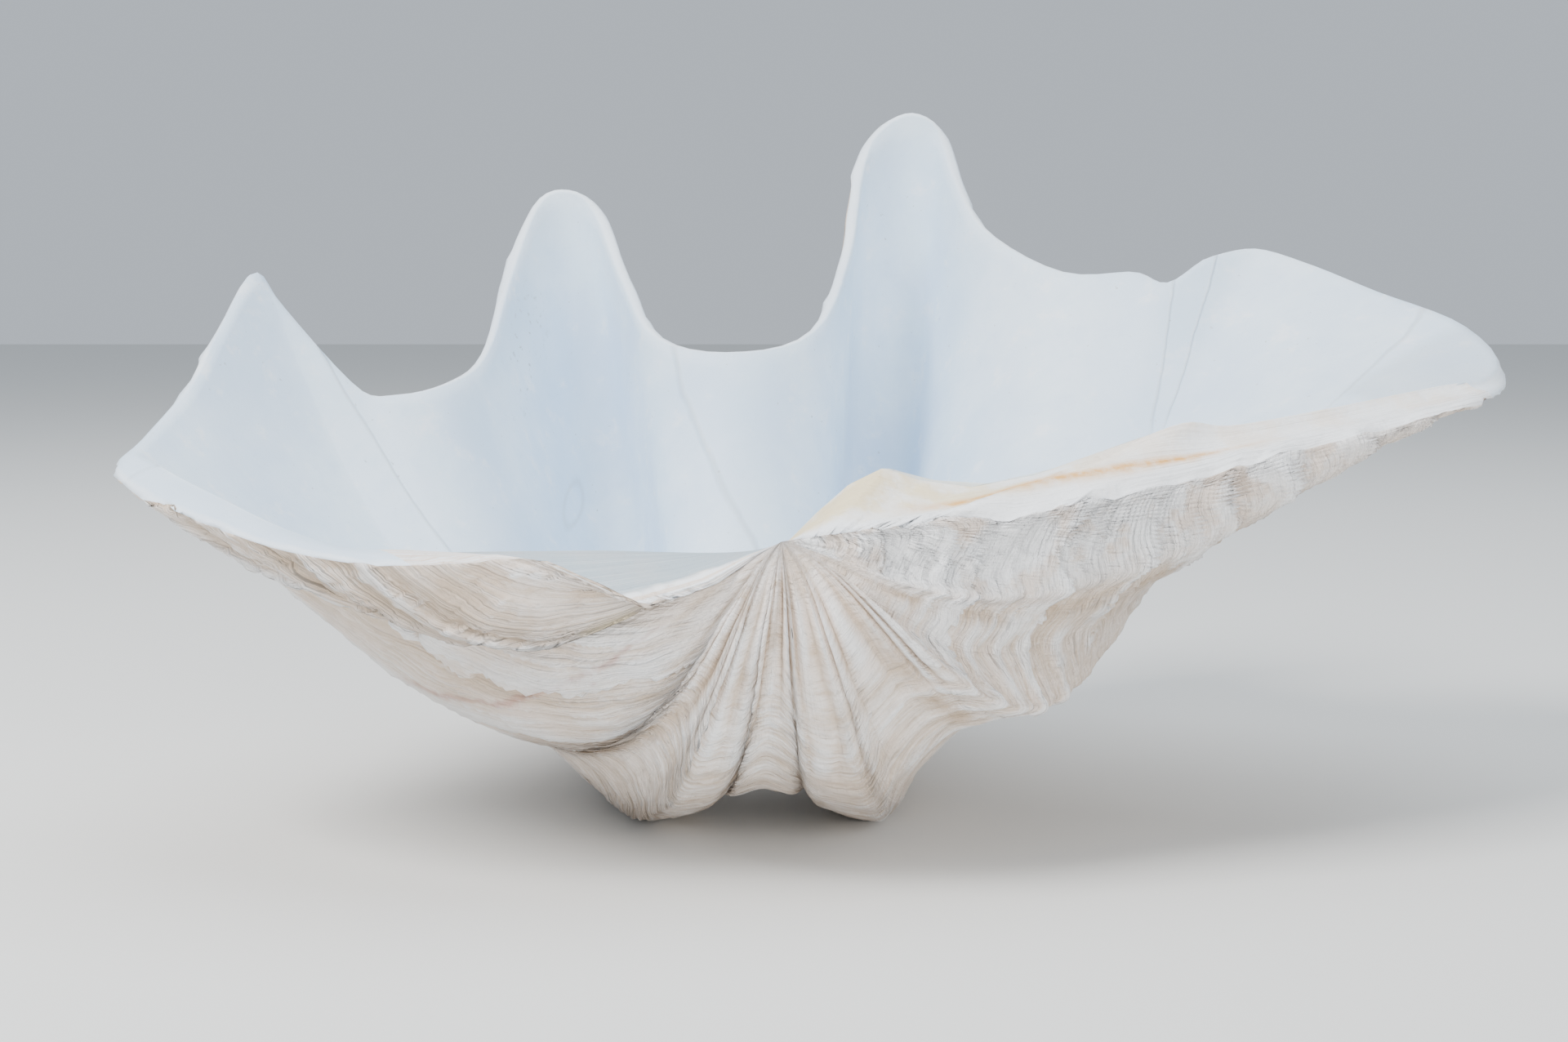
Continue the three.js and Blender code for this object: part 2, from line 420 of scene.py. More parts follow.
def build_sheet(sizes):
    sheet = Sheet()
    fine = SPANS * COLUMNS_PER_ROW
    fine_place = np.linspace(0, SPANS, fine + 1)
    coarse_place = fine_place[::2]
    coarse = len(coarse_place) - 1
    half_rows = OUTSIDE_ROWS // 2
    size_out = np.linspace(0, 1, OUTSIDE_ROWS + 1) ** 1.2
    size_in = np.linspace(0, 1, half_rows + 1)

    # the outer wall starts from the beak, and the inner wall from the hinge plate behind it
    middle = np.array([0.5 * SPANS])
    middle_facts = edge_facts(middle, sizes)
    beak = sheet.line(middle, middle_facts, np.zeros((1, 3)))[0]
    start = sheet.line(middle, middle_facts, np.zeros((1, 3)), wall=1.0)[0]
    fine_facts, coarse_facts = edge_facts(fine_place, sizes), edge_facts(coarse_place, sizes)
    outer = [np.full(fine + 1, beak)]
    for size in size_out[1:]:
        outer.append(sheet.line(fine_place, fine_facts, rim_lift(fine_place, size, sizes), size_out=size))
    inner = [np.full(coarse + 1, start)]
    for size in size_in[1:]:
        left, right = (SHARP_LEFT, SHARP_RIGHT) if size == 1 else (0.01, 0.01)
        crease = (coarse_place < left) | (coarse_place > SPANS - right)
        inner.append(sheet.line(coarse_place, coarse_facts, plate_lift(coarse_place, size, sizes),
                                size_in=size, wall=1.0, crease=crease.astype(float)))

    # the ribbon runs round the edge, back along the right of the hinge plate to the beak, and out
    # along its left
    back, out = slice(half_rows - 1, None, -1), slice(1, half_rows)
    half_size_out = size_out[::2]
    place = np.concatenate([coarse_place, np.full(half_rows, float(SPANS)), np.zeros(half_rows - 1)])
    ring_out = np.concatenate([np.ones(coarse + 1), half_size_out[back], half_size_out[out]])
    ring_in = np.concatenate([np.ones(coarse + 1), size_in[back], size_in[out]])
    inner_ring = np.concatenate([inner[-1], [line[-1] for line in inner[back]],
                                 [line[0] for line in inner[out]]])
    fine_ring = np.concatenate([outer[-1], [line[-1] for line in outer[OUTSIDE_ROWS - 1::-1]],
                                [line[0] for line in outer[1:OUTSIDE_ROWS]]])
    facts = edge_facts(place, sizes)
    inner_lift, outer_lift = plate_lift(place, ring_in, sizes), rim_lift(place, ring_out, sizes)
    on_edge = np.concatenate([np.ones(coarse + 1), np.zeros(2 * half_rows - 1)])
    right_plate = smooth(SPANS - 6, SPANS - 4, place)
    plain = on_edge * smooth(0, 3, place) * (1 - right_plate)
    plate = (1 - smooth(0.8, 1.0, 1 - on_edge)) * right_plate
    rings = []
    for m in range(1, RIBBON_ROWS):
        wall = m / RIBBON_ROWS
        bulge = math.sin(math.pi * wall) * sizes.edge_thickness / MM * EDGE_BULGE
        lift = wall * inner_lift + (1 - wall) * outer_lift + facts.outward * (plain * bulge)[:, None]
        lift[:, 2] += plate * PLATE_WAVE * math.sin(2 * math.pi * wall)
        rings.append(sheet.line(place, facts, lift, size_out=ring_out, size_in=ring_in, wall=wall))

    hinge = (on_edge == 0) | (place > SPANS - 5.2) | (place < 2.4)
    sheet.fan(outer, OUTSIDE, 0.005, 0.60, faces_out=True)
    sheet.fan(inner, INSIDE, 0.62, 0.90, faces_out=False)
    sheet.ribbon(fine_ring, rings + [inner_ring], [HINGE if h else INSIDE for h in hinge])
    return sheet


def sheet_mesh(sizes):
    """The growth sheet as a mesh, all at one place until the growth rule moves it."""
    sheet = build_sheet(sizes)
    mesh = bpy.data.meshes.new("clam_shell_growth")
    mesh.from_pydata([(0, 0, 0)] * sheet.count, [], sheet.faces)
    for name, stack in sheet.numbers.items():
        values = np.concatenate(stack).astype(np.float32)
        mesh.attributes.new(name, "FLOAT", "POINT").data.foreach_set("value", values)
    for name, stack in sheet.vectors.items():
        values = (np.concatenate(stack) * MM).astype(np.float32).ravel()
        mesh.attributes.new(name, "FLOAT_VECTOR", "POINT").data.foreach_set("vector", values)
    regions = np.array(sheet.regions, np.int32)
    mesh.attributes.new("region", "INT", "FACE").data.foreach_set("value", regions)
    uv_map = mesh.uv_layers.new(name="OFBake")
    uv_map.data.foreach_set("uv", np.array(sheet.uvs, np.float32).ravel())
    return mesh


# ---------------------------------------------------------------- node helpers

class Tree:
    """Short calls for adding nodes and linking them."""

    def __init__(self, tree):
        self.tree = tree

    def node(self, kind, inputs=(), **settings):
        node = self.tree.nodes.new(kind)
        for name, value in settings.items():
            setattr(node, name, value)
        pairs = inputs.items() if isinstance(inputs, dict) else enumerate(inputs)
        for key, value in pairs:
            self.feed(node.inputs[key], value)
        return node

    def feed(self, socket, value):
        if isinstance(value, bpy.types.NodeSocket):
            self.tree.links.new(value, socket)
        else:
            socket.default_value = value

    def math(self, operation, *values):
        return self.node("ShaderNodeMath", values, operation=operation).outputs[0]

    def times(self, first, *others):
        for other in others:
            first = self.math("MULTIPLY", first, other)
        return first

    def plus(self, first, *others):
        for other in others:
            first = self.math("ADD", first, other)
        return first

    def minus(self, first, other):
        return self.math("SUBTRACT", first, other)

    def near(self, value, at, width):
        """1 where a value is at a place, fading to 0 a width away."""
        return self.step(self.math("ABSOLUTE", self.minus(value, at)), width, 0.0)

    def vector(self, operation, *values):
        return self.node("ShaderNodeVectorMath", values, operation=operation).outputs["Vector"]

    def scaled(self, vector, factor):
        inputs = {"Vector": vector, "Scale": factor}
        return self.node("ShaderNodeVectorMath", inputs, operation="SCALE").outputs["Vector"]

    def combined(self, x, y, z):
        return self.node("ShaderNodeCombineXYZ", (x, y, z)).outputs[0]

    def step(self, value, low, high, to_low=0.0, to_high=1.0):
        inputs = {"Value": value, "From Min": low, "From Max": high, "To Min": to_low, "To Max": to_high}
        return self.node("ShaderNodeMapRange", inputs, interpolation_type="SMOOTHSTEP").outputs[0]

    def noise(self, vector, scale, detail=2.0, roughness=0.5):
        inputs = {"Vector": vector, "Scale": scale, "Detail": detail, "Roughness": roughness}
        return self.node("ShaderNodeTexNoise", inputs).outputs[0]


def stretch(t, along, rows, fade):
    """1 on a stretch of the edge, fading over its ends."""
    low, high = rows
    return t.times(t.step(along, (low - fade) / SPANS, (low + fade) / SPANS),
                   t.step(along, (high + fade) / SPANS, (high - fade) / SPANS))


def line_travel(t, along, size):
    """Growth lines' own count from the beak. On the folds it is the size. On the left flank the lines
    turn to run along the rim, and below the hinge plate they stand across it."""
    left = t.step(along, 6.5 / SPANS, 15.0 / SPANS, 0.14, 1.0)
    right = t.step(along, 46.5 / SPANS, 40.0 / SPANS, 0.16, 1.0)
    rim = t.step(along, 8.0 / SPANS, 0.0, 0.0, 0.4)
    return t.plus(t.times(size, t.times(left, right)), rim)


# ---------------------------------------------------------------- growth rule as Geometry Nodes

GROWTH_NUMBERS = ("Coil", "Coil Start", "Inner Turn", "Inner Sag", "Inner Spread", "Growth Line Height",
                  "Growth Lines", "Riblet Height", "Riblets", "Flake Height", "Grit Height", "Seed")


def attribute(t, name, kind="FLOAT"):
    return t.node("GeometryNodeInputNamedAttribute", {"Name": name}, data_type=kind).outputs["Attribute"]


def growth_place(t, entry):
    """Where each point of the growth sheet grows to."""
    size_out, size_in, wall, spread = (
        attribute(t, name) for name in ("size_out", "size_in", "wall", "spread"))
    edge_out, edge_in, sag, lift = (
        attribute(t, name, "FLOAT_VECTOR") for name in ("edge_out", "edge_in", "sag", "lift"))

    def turned_x(vector, angle):
        inputs = {"Vector": vector, "Angle": angle}
        return t.node("ShaderNodeVectorRotate", inputs, rotation_type="X_AXIS").outputs[0]

    def sagged(size):
        return t.times(t.times(size, size), SAG_PEAK, t.minus(1.0, size))

    def age(size):
        return t.math("DIVIDE", t.plus(size, entry["Coil Start"]), t.plus(1.0, entry["Coil Start"]))

    def spread_out(vector, size, share):
        power = t.times(t.minus(spread, 1.0), share)
        return t.vector("MULTIPLY", vector, t.combined(t.math("POWER", age(size), power), 1.0, 1.0))

    # outer wall: a log spiral about the hinge line
    coil_angle = t.times(entry["Coil"], t.math("LOGARITHM", age(size_out), math.e))
    reach = t.scaled(spread_out(edge_out, size_out, 1.0), size_out)
    outside = t.vector("ADD", turned_x(reach, coil_angle), t.scaled(sag, sagged(size_out)))
    # inner wall: from the hinge plate, turning less
    inner_angle = t.times(t.minus(size_in, 1.0), entry["Inner Turn"])
    reach = t.scaled(t.vector("SUBTRACT", edge_in, entry["Plate Start"]), size_in)
    reach = spread_out(reach, size_in, entry["Inner Spread"])
    inside = t.vector("ADD", t.vector("ADD", entry["Plate Start"], turned_x(reach, inner_angle)),
                      t.scaled(sag, t.times(sagged(size_in), entry["Inner Sag"])))
    between = t.node("ShaderNodeMix", data_type="VECTOR")
    t.feed(between.inputs["Factor"], wall)
    vectors = [s for s in between.inputs if s.type == "VECTOR"]
    t.feed(vectors[-2], outside)
    t.feed(vectors[-1], inside)
    mixed = [s for s in between.outputs if s.type == "VECTOR"][0]
    return t.vector("ADD", t.vector("ADD", mixed, lift), entry["Beak"])


def relief_height(t, entry, position):
    """How far the outside stands out: riblets, furrows, growth lines, flaking crust and grit."""
    along, size, wall = (attribute(t, name) for name in ("along", "size_out", "wall"))
    seeded = t.vector("ADD", position, t.combined(entry["Seed"], 0.0, 0.0))
    cloud = t.noise(seeded, 17.0, 3.0)
    wander = t.times(t.minus(t.noise(seeded, 14.0, 2.0), 0.5), 0.03)
    travel = line_travel(t, along, size)
    line = t.times(t.plus(travel, wander), entry["Growth Lines"])

    # fine ribs that fan from the beak, worn away further down
    bend = t.times(t.noise(seeded, 10.0, 2.0), 1.1)
    turn = t.times(t.plus(t.times(along, entry["Riblets"]), bend), math.pi)
    crest = t.minus(t.math("POWER", t.math("ABSOLUTE", t.math("COSINE", turn)), 0.75), 0.6)
    fan = t.times(t.step(size, -0.02, 0.11), t.step(size, 0.25, 0.10, 0.03, 1.0))
    fan = t.times(fan, t.plus(0.15, t.times(stretch(t, along, FAN_ROWS, 3.0), 0.85)))
    fan = t.times(fan, t.step(cloud, 0.3, 0.6, 0.55, 1.15))
    riblets = t.times(crest, fan, entry["Riblet Height"])

    row = t.plus(t.times(along, float(SPANS)), t.times(wander, 12.0))
    furrows = 0.0
    for start, drift, width, far in FURROWS:
        cut = t.near(row, t.plus(t.times(size, drift), start), width * 2.6)
        furrows = t.plus(furrows, t.times(cut, t.step(size, far, far * 0.4)))
    furrows = t.times(furrows, t.step(size, 0.0, 0.1), -FURROW_DEPTH)

    # growth lines: laid sheets with ragged ends, wide on the flanks and tight on the folds
    line_height = entry["Growth Line Height"]
    saw = t.math("FRACT", line)
    patch = t.step(t.noise(seeded, 24.0, 2.0), 0.4, 0.62, 0.25, 1.0)
    tight = t.times(saw, saw, patch, line_height)
    laid = t.noise(t.combined(t.times(along, 30.0), line, entry["Seed"]), 1.0, 2.0, 0.55)
    ripple = t.times(t.minus(laid, 0.5), t.times(line_height, 3.0))
    flank = t.math("MAXIMUM", stretch(t, along, LEFT_FLANK, 1.5), stretch(t, along, RIGHT_FLANK, 1.5))
    ragged = t.times(t.minus(t.noise(seeded, 34.0, 4.0, 0.6), 0.5), 0.9)
    sheets = t.math("FRACT", t.plus(t.times(line, 0.2), ragged))
    sheets = t.times(t.minus(sheets, 0.5), flank, t.times(line_height, 2.2))
    stops = 0.0
    for at in GROWTH_STOPS:
        stops = t.plus(stops, t.near(t.plus(size, t.times(wander, 0.4)), at, 0.011))
    stops = t.times(stops, stretch(t, along, FOURTH_FOLD, 1.0), t.times(line_height, 1.5))
    lines = t.times(t.plus(tight, ripple, t.plus(sheets, stops)), t.step(size, 0.08, 0.2))

    # flaking crust: the rim beside the notch, and the rim and flank below the hinge plate
    notch_rim = t.times(stretch(t, along, NOTCH_RIM, 1.5), t.step(size, 0.3, 0.8))
    hinge_rim = t.times(stretch(t, along, HINGE_RIM, 1.5), t.step(size, 0.05, 0.3))
    crust = t.math("MAXIMUM", notch_rim, hinge_rim)
    raw = t.plus(t.times(t.noise(seeded, 55.0, 4.0, 0.6), 0.7), t.times(laid, 0.3))
    chips = t.math("DIVIDE", t.math("FLOOR", t.times(raw, 9.0)), 9.0)
    chips = t.plus(t.times(chips, 0.8), t.times(raw, 0.5))
    flakes = t.times(t.minus(chips, 0.64), t.times(crust, 3.0), entry["Flake Height"])
    grit = t.times(t.minus(t.noise(seeded, 95.0, 4.0, 0.6), 0.5), entry["Grit Height"])
    lumps = t.times(t.minus(cloud, 0.5), LUMP_HEIGHT)
    height = t.plus(lines, riblets, t.plus(flakes, grit), t.plus(lumps, furrows))
    cover = t.times(t.step(wall, 0.4, 0.0), t.step(size, 0.0, 0.06))
    beside_beak = t.times(t.step(along, 4.0 / SPANS, 1.0 / SPANS), t.step(size, 0.85, 0.5))
    cover = t.times(cover, t.minus(1.0, t.times(beside_beak, 0.85)))
    return t.times(height, cover)


def growth_tree(materials):
    """The growth rule, the relief, the worn bottom and the finishes. Materials are in the order of the
    sheet's regions."""
    group = bpy.data.node_groups.new("Clam shell growth", "GeometryNodeTree")
    sockets = [("Geometry", "INPUT", "Geometry"), ("Geometry", "OUTPUT", "Geometry")]
    sockets += [(name, "INPUT", "Float") for name in GROWTH_NUMBERS]
    sockets += [(name, "INPUT", "Vector") for name in ("Beak", "Plate Start")]
    for name, side, kind in sockets:
        group.interface.new_socket(name=name, in_out=side, socket_type="NodeSocket" + kind)
    t = Tree(group)
    entry = t.node("NodeGroupInput").outputs
    leave = t.node("NodeGroupOutput").inputs

    def step_on(geometry, kind, inputs, **settings):
        return t.node(kind, {"Geometry": geometry, **inputs}, **settings).outputs[0]

    position = t.node("GeometryNodeInputPosition").outputs[0]
    normal = t.node("GeometryNodeInputNormal").outputs[0]
    shell = step_on(entry["Geometry"], "GeometryNodeSetPosition", {"Position": growth_place(t, entry)})
    shell = step_on(shell, "GeometryNodeStoreNamedAttribute",
                    {"Name": "relief", "Value": relief_height(t, entry, position)}, data_type="FLOAT")
    carved = t.scaled(normal, attribute(t, "relief"))
    shell = step_on(shell, "GeometryNodeSetPosition", {"Offset": carved})
    x, y, z = t.node("ShaderNodeSeparateXYZ", (position,)).outputs
    worn_flat = t.combined(x, y, t.math("MAXIMUM", z, 0.0))
    shell = step_on(shell, "GeometryNodeSetPosition", {"Position": worn_flat})
    shell = step_on(shell, "GeometryNodeSetShadeSmooth", {})
    sharp = t.node("FunctionNodeCompare", {"A": attribute(t, "crease"), "B": 0.99}, data_type="FLOAT",
                   operation="GREATER_THAN").outputs[0]
    shell = step_on(shell, "GeometryNodeSetShadeSmooth", {"Selection": sharp, "Shade Smooth": False},
                    domain="EDGE")
    shell = step_on(shell, "GeometryNodeRealizeInstances", {})
    region = attribute(t, "region", "INT")
    for number, material in enumerate(materials):
        chosen = t.node("FunctionNodeCompare", data_type="INT", operation="EQUAL")
        whole = [s for s in chosen.inputs if s.type == "INT"]
        t.feed(whole[0], region)
        t.feed(whole[1], number)
        shell = step_on(shell, "GeometryNodeSetMaterial",
                        {"Selection": chosen.outputs[0], "Material": material})
    t.feed(leave[0], shell)
    return group


# ---------------------------------------------------------------- materials

def shader_group(name, inputs, outputs):
    """A node group of numbers. Inputs have their default."""
    group = bpy.data.node_groups.new(name, "ShaderNodeTree")
    for socket, value in inputs:
        made = group.interface.new_socket(name=socket, in_out="INPUT", socket_type="NodeSocketFloat")
        made.default_value = value
    for socket in outputs:
        group.interface.new_socket(name=socket, in_out="OUTPUT", socket_type="NodeSocketFloat")
    t = Tree(group)
    return group, t, t.node("NodeGroupInput").outputs, t.node("NodeGroupOutput").inputs


def object_place(t):
    return t.node("ShaderNodeTexCoord").outputs["Object"]


def field(t, name):
    return t.node("ShaderNodeAttribute", attribute_name=name).outputs["Fac"]


def edge_row(t):
    return t.times(field(t, "along"), float(SPANS))


def shell_grain_group():
    """Fine grain of weathered shell: an uneven tone and a height."""
    group, t, entry, leave = shader_group("Shell grain", [("Scale", 1.0)], ["Tone", "Height"])
    place = t.scaled(object_place(t), entry["Scale"])
    coarse = t.noise(place, 55.0, 5.0, 0.6)
    fine = t.noise(place, 420.0, 4.0, 0.65)
    t.feed(leave["Tone"], t.plus(t.times(coarse, 0.6), t.times(fine, 0.4)))
    t.feed(leave["Height"], t.plus(t.times(coarse, 0.7), t.times(fine, 0.3)))
    return group


def growth_band_group():
    """Growth lines and riblets that follow the shell: a mask for each."""
    group, t, entry, leave = shader_group("Growth bands", [("Lines", 120.0), ("Riblets", 150.0)],
                                          ["Lines", "Riblets", "Bands", "Sharp"])
    along = field(t, "along")
    wander = t.times(t.noise(object_place(t), 16.0, 2.0), 0.05)
    travel = t.plus(line_travel(t, along, field(t, "size_out")), wander)

    def laid(across, down, layer, detail, roughness):
        return t.noise(t.combined(t.times(along, across), t.times(travel, down), layer), 1.0, detail,
                       roughness)

    lines = laid(24.0, entry["Lines"], 0.0, 3.0, 0.6)
    bands = laid(6.0, 26.0, 4.0, 3.0, 0.55)
    saw = t.math("FRACT", t.times(t.plus(travel, t.times(lines, 0.004)), 150.0))
    t.feed(leave["Sharp"], t.times(saw, saw, t.step(bands, 0.35, 0.6, 0.2, 1.0)))
    t.feed(leave["Lines"], lines)
    t.feed(leave["Riblets"], laid(entry["Riblets"], 9.0, 8.0, 2.0, 0.5))
    t.feed(leave["Bands"], bands)
    return group


def new_material(name):
    material = bpy.data.materials.new(name)
    material.use_nodes = True
    material.node_tree.nodes.clear()
    t = Tree(material.node_tree)
    surface = t.node("ShaderNodeBsdfPrincipled")
    t.node("ShaderNodeOutputMaterial", {"Surface": surface.outputs[0]})
    return material, t, surface.inputs


class Paint:
    """A base colour built up in coats, each laid over the last by a mask."""

    def __init__(self, t, colour):
        self.t = t
        self.colour = colour

    def lay(self, colour, mask):
        node = self.t.node("ShaderNodeMix", {"Factor": mask}, data_type="RGBA")
        sockets = [s for s in node.inputs if s.type == "RGBA"]
        for socket, coat in zip(sockets, (self.colour, colour)):
            self.t.feed(socket, coat if isinstance(coat, bpy.types.NodeSocket) else (*coat, 1))
        self.colour = [s for s in node.outputs if s.type == "RGBA"][0]


def finish_surface(t, surface, colour, roughness, specular, height, strength):
    t.feed(surface["Base Color"], colour)
    t.feed(surface["Roughness"], roughness)
    surface["Specular IOR Level"].default_value = specular
    bump = t.node("ShaderNodeBump", {"Height": height, "Distance": 1.0, "Strength": strength})
    t.feed(surface["Normal"], bump.outputs[0])


def uneven_about(t, value, uneven, amount):
    """A value pushed up and down by a noise."""
    return t.plus(value, t.times(t.minus(uneven, 0.5), amount))


def spot(t, row, size, at_row, at_size, row_width, size_width):
    return t.times(t.near(row, at_row, row_width), t.near(size, at_size, size_width))


def outside_material(colours, grain, bands):
    """Chalky, flaking outside with stained furrows."""
    material, t, surface = new_material("Chalky outside")
    g = t.node("ShaderNodeGroup", node_tree=grain).outputs
    b = t.node("ShaderNodeGroup", node_tree=bands).outputs
    fine = t.node("ShaderNodeGroup", {"Lines": 330.0, "Riblets": 420.0}, node_tree=bands).outputs
    place = object_place(t)
    row, size, relief = edge_row(t), field(t, "size_out"), field(t, "relief")
    cloud = t.noise(place, 11.0, 4.0, 0.6)
    uneven = t.noise(place, 38.0, 4.0, 0.65)
    paint = Paint(t, colours.chalk)
    paint.lay(colours.chalk_warm, t.step(cloud, 0.36, 0.66))
    warmth = t.times(t.step(size, 0.14, 0.42, 0.0, 0.75), t.step(row, 8.0, 14.0, 0.3, 1.0))
    paint.lay(colours.chalk_warm, warmth)

    # tan stain in what lies low and in the growth lines, less of it below the hinge plate
    calm = t.minus(1.0, t.times(t.step(row, 40.0, 43.0), 0.75))
    low = t.step(uneven_about(t, relief, uneven, 0.0016), 0.0003, -0.0016)
    paint.lay(colours.stain, t.times(low, 0.6, calm))
    paint.lay(colours.stain, t.times(t.step(b["Bands"], 0.46, 0.70, 0.0, 0.5), calm))
    paint.lay(colours.stain, t.times(t.step(b["Lines"], 0.52, 0.70, 0.0, 0.5), calm))

    # brown furrows, a painted shadow line below the hinge plate's rim on the right flank, the reddish
    # step on the left flank and its red marks
    furrow_stain_and_shadow = 0.0
    drifted = uneven_about(t, row, cloud, 0.8)
    for start, drift, width, far in FURROWS + [FLANK_SHADOW_LINE]:
        at = t.plus(t.times(size, drift), start)
        mask = t.near(drifted, at, width * 1.9)
        furrow_stain_and_shadow = t.math("MAXIMUM", furrow_stain_and_shadow, t.times(mask, t.step(size, far, far * 0.7)))
    furrow_stain_and_shadow = t.times(furrow_stain_and_shadow, t.step(size, 0.02, 0.1), t.step(uneven, 0.32, 0.62, 0.25, 0.95))
    paint.lay(colours.furrow_and_shadow, t.times(furrow_stain_and_shadow, 0.75))
    step_line = t.times(t.near(t.plus(row, t.times(uneven, 0.7)), RED_STEP_ROW, 0.16),
                        t.times(t.step(size, 0.12, 0.2), t.step(size, 0.66, 0.5)))
    paint.lay(colours.rust, t.times(step_line, 0.6))
    for mark in RED_MARKS:
        paint.lay(colours.rust, t.times(spot(t, row, size, *mark), 0.8))

    # tight growth lines, then a painted highlight of bluish white on what stands up, and white in the
    # grain and on the hinge rim's crust
    tight = t.times(t.step(b["Sharp"], 0.25, 0.0, 0.0, 0.5), t.step(size, 0.10, 0.2))
    paint.lay(colours.stain, t.times(tight, t.step(uneven, 0.35, 0.6)))
    # painted highlight: bluish white on the crests of the relief
    high = t.step(uneven_about(t, relief, uneven, 0.002), 0.0003, 0.0018)
    paint.lay(colours.bright, t.times(high, 0.7))
    paint.lay(colours.bright, t.step(g["Tone"], 0.52, 0.72, 0.0, 0.4))
    paint.lay(colours.bright, t.times(t.step(row, 41.0, 43.0), t.step(uneven, 0.38, 0.5), 0.85))
    patch = spot(t, row, size, *CREAM_PATCH)
    paint.lay(colours.cream, t.times(patch, t.step(uneven, 0.42, 0.5, 0.0, 0.8)))
    paint.lay(DARK, t.step(spot(t, row, size, *DARK_SPOT), 0.3, 0.6))

    height = t.plus(t.times(b["Lines"], 0.0030), t.times(fine["Lines"], 0.0012),
                    t.times(fine["Riblets"], t.times(calm, 0.0007)), t.times(g["Height"], 0.0026))
    sharp = t.times(b["Sharp"], t.step(size, 0.08, 0.18))
    height = t.plus(height, t.times(sharp, 0.0017))
    finish_surface(t, surface, paint.colour, t.step(g["Tone"], 0.3, 0.7, 0.72, 0.95), 0.3, height, 1.0)
    return material


def inside_material(colours, grain):
    """Smooth bluish porcelain with faint clouding, thin ridge lines with painted shade along them,
    specks, a painted shade on a facet near the right end and a painted highlight along the rim.
    """
    material, t, surface = new_material("Porcelain inside")
    g = t.node("ShaderNodeGroup", node_tree=grain).outputs
    place = object_place(t)
    row, size, wall = edge_row(t), field(t, "size_in"), field(t, "wall")
    cloud = t.noise(place, 13.0, 4.0, 0.55)
    uneven = t.noise(place, 60.0, 5.0, 0.65)
    paint = Paint(t, colours.porcelain)
    paint.lay(colours.porcelain_deep, t.step(cloud, 0.35, 0.7))
    paint.lay(colours.porcelain_deep, t.step(uneven, 0.46, 0.72, 0.0, 0.45))
    paint.lay(colours.bright, t.step(uneven, 0.45, 0.28, 0.0, 0.5))

    wavy = uneven_about(t, row, cloud, 0.5)
    ridge_and_shade_line = 0.0
    for start, drift, width, reach in RIDGE_SHADE_LINES:
        at = t.plus(t.times(t.minus(1.0, size), drift), start)
        line = t.near(wavy, at, width)
        ridge_and_shade_line = t.math("MAXIMUM", ridge_and_shade_line, t.times(line, t.step(size, reach, reach + 0.08)))
    # painted shade: grey along the ridge lines' creases
    paint.lay(colours.grey, t.times(ridge_and_shade_line, 0.36))
    specks = t.times(t.step(t.noise(place, 240.0, 3.0, 0.6), 0.62, 0.68), spot(t, row, size, *SPECKS))
    rare = t.times(t.step(t.noise(place, 330.0, 2.0, 0.5), 0.73, 0.77), 0.6)
    paint.lay(colours.grey, t.math("MAXIMUM", specks, rare))
    paint.lay(colours.grey, t.times(t.near(spot(t, row, size, *RING_MARK), 0.4, 0.25), 0.3))
    # painted shade: grey on a facet near the right end, just inside the edge
    shaded_facet = t.times(t.step(row, 38.9, 39.2), t.times(t.step(row, 42.0, 41.6), t.step(size, 0.80, 0.83)))
    paint.lay(colours.grey, t.times(shaded_facet, 0.35))
    tint = t.times(t.step(row, 42.0, 44.5), t.step(uneven, 0.35, 0.6, 0.3, 0.9))
    paint.lay(colours.cream, t.times(tint, 0.35))
    lobe = t.times(t.step(wall, 0.99, 0.9), t.step(row, 9.5, 8.0))
    paint.lay(colours.porcelain_deep, t.times(lobe, 0.6))
    # painted highlight: bright along the rim, on the ribbon's strips beside the inner line and at the
    # outer edge
    rim = t.times(t.step(wall, 0.98, 0.7), t.step(row, 8.0, 9.5))
    paint.lay(colours.bright, t.times(t.math("MAXIMUM", rim, t.step(wall, 0.3, 0.15)), 0.4))

    height = t.plus(t.times(g["Height"], 0.0006), t.times(ridge_and_shade_line, 0.0007), t.times(uneven, 0.0006))
    finish_surface(t, surface, paint.colour, t.step(g["Tone"], 0.3, 0.7, 0.42, 0.62), 0.4, height, 0.6)
    return material


